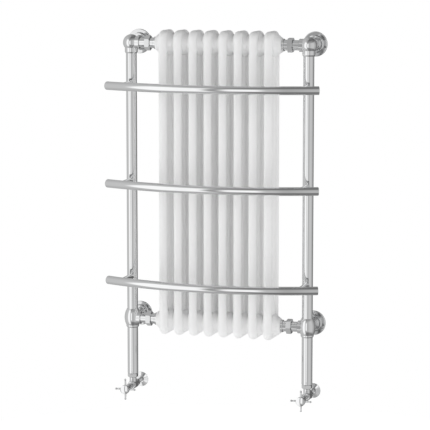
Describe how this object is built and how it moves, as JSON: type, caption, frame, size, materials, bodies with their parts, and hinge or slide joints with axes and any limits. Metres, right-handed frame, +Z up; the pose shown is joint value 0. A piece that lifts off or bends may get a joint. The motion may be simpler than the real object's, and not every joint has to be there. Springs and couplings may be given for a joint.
{
  "type": "towel radiator with valves",
  "caption": "Wall-hung traditional towel radiator: white column sections in a chrome ball-jointed frame, bowed towel bars, and a cross-head angle valve under each post.",
  "frame": {"origin": "centre of the rectangle of the four wall fixings, on the wall's surface", "axes": "+Z up, +Y into the wall, +X to the right of someone facing the radiator; the whole radiator is at negative Y, and only the supply pipes pass behind the wall"},
  "size_m": [0.6536, 0.256, 1.1098],
  "materials": {
    "chrome_plate": "bright chrome plating on polished brass and steel tube",
    "white_paint": "satin white baked powder coat, no flake",
    "plain_brass": "bare turned brass",
    "plain_steel": "zinc-passivated turned steel",
    "washer_rubber": "matt moulded rubber",
    "fibre": "matt red fibre",
    "packing": "graphited yarn, matt"
  },
  "bodies": {
    "radiator": {"air_vent_plug": "chrome_plate", "ball_elbow_left": "chrome_plate", "ball_elbow_right": "chrome_plate", "ball_tee_left": "chrome_plate", "ball_tee_right": "chrome_plate", "bar_end_caps": "chrome_plate", "bar_standoffs": "chrome_plate", "column_section_1": "white_paint", "column_section_2": "white_paint", "column_section_3": "white_paint", "column_section_4": "white_paint", "column_section_5": "white_paint", "column_section_6": "white_paint", "column_section_7": "white_paint", "column_section_8": "white_paint", "compression_nuts": "chrome_plate", "compression_olives": "plain_brass", "end_bosses": "white_paint", "end_bushes": "chrome_plate", "fibre_washers": "fibre", "gland_nut_left": "chrome_plate", "gland_nut_right": "chrome_plate", "gland_packings": "packing", "lower_tail_left": "chrome_plate", "lower_tail_right": "chrome_plate", "post_left": "chrome_plate", "post_right": "chrome_plate", "stay_grub_screws": "plain_steel", "supply_pipes": "chrome_plate", "towel_bar_bottom": "chrome_plate", "towel_bar_middle": "chrome_plate", "towel_bar_top": "chrome_plate", "union_nuts_left": "chrome_plate", "union_nuts_right": "chrome_plate", "union_stubs": "chrome_plate", "union_tails": "chrome_plate", "valve_body_left": "chrome_plate", "valve_body_right": "chrome_plate", "valve_headwork_left": "chrome_plate", "valve_headwork_right": "chrome_plate", "valve_rosettes": "chrome_plate", "valve_union_nuts": "chrome_plate", "wall_feet": "plain_steel", "wall_rosettes": "chrome_plate", "wall_stays": "chrome_plate"},
    "handle_left": {"valve_handle_left": "chrome_plate", "handle_cap_left": "chrome_plate", "handle_screw_left": "chrome_plate", "valve_spindle_left": "chrome_plate"},
    "jumper_left": {"valve_jumper_left": "plain_brass", "jumper_washer_left": "washer_rubber"},
    "handle_right": {"valve_handle_right": "chrome_plate", "handle_cap_right": "chrome_plate", "handle_screw_right": "chrome_plate", "valve_spindle_right": "chrome_plate"},
    "jumper_right": {"valve_jumper_right": "plain_brass", "jumper_washer_right": "washer_rubber"},
    "bleed_screw": {"bleed_screw": "plain_brass"}
  },
  "joints": [
    {"name": "handle_left_turn", "type": "hinge", "parent": "radiator", "child": "handle_left", "pos_m": [-0.2723, -0.077, -0.6225], "axis": [0, -1, 0], "range_deg": [0, 675]},
    {"name": "jumper_left_lift", "type": "slide", "parent": "radiator", "child": "jumper_left", "axis": [0, -1, 0], "range_m": [0, 0.00282]},
    {"name": "handle_right_turn", "type": "hinge", "parent": "radiator", "child": "handle_right", "pos_m": [0.2723, -0.077, -0.6225], "axis": [0, -1, 0], "range_deg": [0, 675]},
    {"name": "jumper_right_lift", "type": "slide", "parent": "radiator", "child": "jumper_right", "axis": [0, -1, 0], "range_m": [0, 0.00282]},
    {"name": "bleed_screw_turn", "type": "hinge", "parent": "radiator", "child": "bleed_screw", "pos_m": [-0.161, -0.0265, 0.4155], "axis": [0, 1, 0], "range_deg": [0, 360]}
  ],
  "couplings": [
    {"joint": "jumper_left_lift", "follows": "handle_left_turn", "m_per_rad": 0.00023873},
    {"joint": "jumper_right_lift", "follows": "handle_right_turn", "m_per_rad": 0.00023873}
  ]
}
